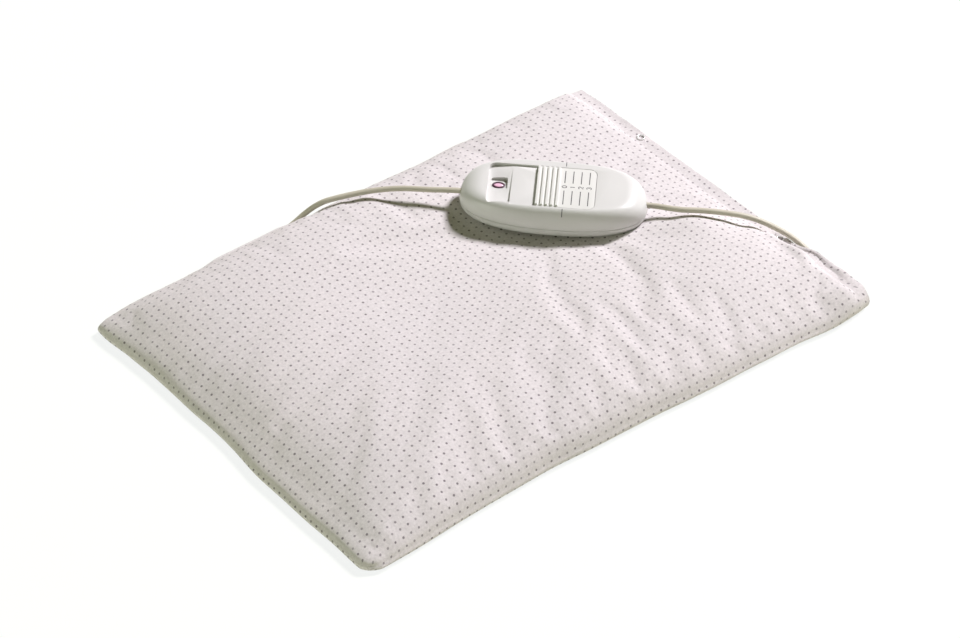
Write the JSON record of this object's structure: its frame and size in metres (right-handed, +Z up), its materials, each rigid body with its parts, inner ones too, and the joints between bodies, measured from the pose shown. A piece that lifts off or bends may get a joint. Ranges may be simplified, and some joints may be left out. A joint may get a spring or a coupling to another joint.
{
  "type": "heating pad with controller",
  "caption": "Soft rectangular electric heating pad in a dotted cotton cover with snaps, with an oval in-line hand controller whose ribbed slider sets the heat.",
  "frame": {"origin": "on the table, under the middle of the pad", "axes": "+X along the pad's long side toward its open end, +Y along its short side toward the rear edge, +Z up"},
  "size_m": [0.411, 0.2983, 0.0452],
  "materials": {
    "cotton": "woven cotton, dotted",
    "fleece": "matt fleece",
    "shell": "satin",
    "slider": "satin",
    "lead": "satin",
    "plug": "satin",
    "lens": "gloss",
    "lens_rim": "gloss",
    "snap_metal": "polished",
    "screw_steel": "zinc plated",
    "spring_steel": "bare",
    "pin_metal": "nickel plated",
    "contact_brass": "bare",
    "board": "laminate",
    "lamp_glass": "clear",
    "dark_plastic": "satin",
    "strap": "satin",
    "wire": "satin"
  },
  "bodies": {
    "pad_and_controller": {"cotton_cover_front": "cotton", "cotton_cover_back": "cotton", "heating_layer_back_fleece": "fleece", "heating_layer_front_fleece": "fleece", "controller_upper_shell": "shell", "controller_lower_shell": "shell", "mains_lead": "lead", "mains_lead_hank": "lead", "mains_lead_tail": "lead", "pad_lead": "lead", "pad_lead_grommet": "lead", "plug_body": "plug", "lamp_lens": "lens", "lens_rim": "lens_rim", "snap_ring_1": "snap_metal", "snap_ring_2": "snap_metal", "snap_stud_1": "snap_metal", "snap_stud_2": "snap_metal", "housing_screw_1": "screw_steel", "housing_screw_2": "screw_steel", "housing_screw_3": "screw_steel", "housing_screw_4": "screw_steel", "mains_clamp_screw_1": "screw_steel", "mains_clamp_screw_2": "screw_steel", "pad_clamp_screw_1": "screw_steel", "pad_clamp_screw_2": "screw_steel", "detent_spring": "spring_steel", "thermostat_1": "spring_steel", "thermostat_2": "spring_steel", "plug_pin_1": "pin_metal", "plug_pin_2": "pin_metal", "fixed_contact_0": "contact_brass", "fixed_contact_1": "contact_brass", "fixed_contact_2": "contact_brass", "fixed_contact_3": "contact_brass", "contact_rail": "contact_brass", "circuit_board": "board", "indicator_lamp": "lamp_glass", "resistor": "dark_plastic", "diode": "dark_plastic", "thermal_fuse": "dark_plastic", "mains_cord_clamp": "dark_plastic", "pad_cord_clamp": "dark_plastic", "hank_strap": "strap", "heating_wire": "wire", "mains_conductor_1": "wire", "mains_conductor_2": "wire", "pad_conductor_1": "wire", "pad_conductor_2": "wire"},
    "slider": {"slider": "slider", "switch_carriage": "dark_plastic", "contact_bridge": "contact_brass"}
  },
  "joints": [
    {"name": "slider_slide", "type": "slide", "parent": "pad_and_controller", "child": "slider", "axis": [-0.7273, 0.6854, 0.0349], "range_m": [0, 0.0162]}
  ]
}
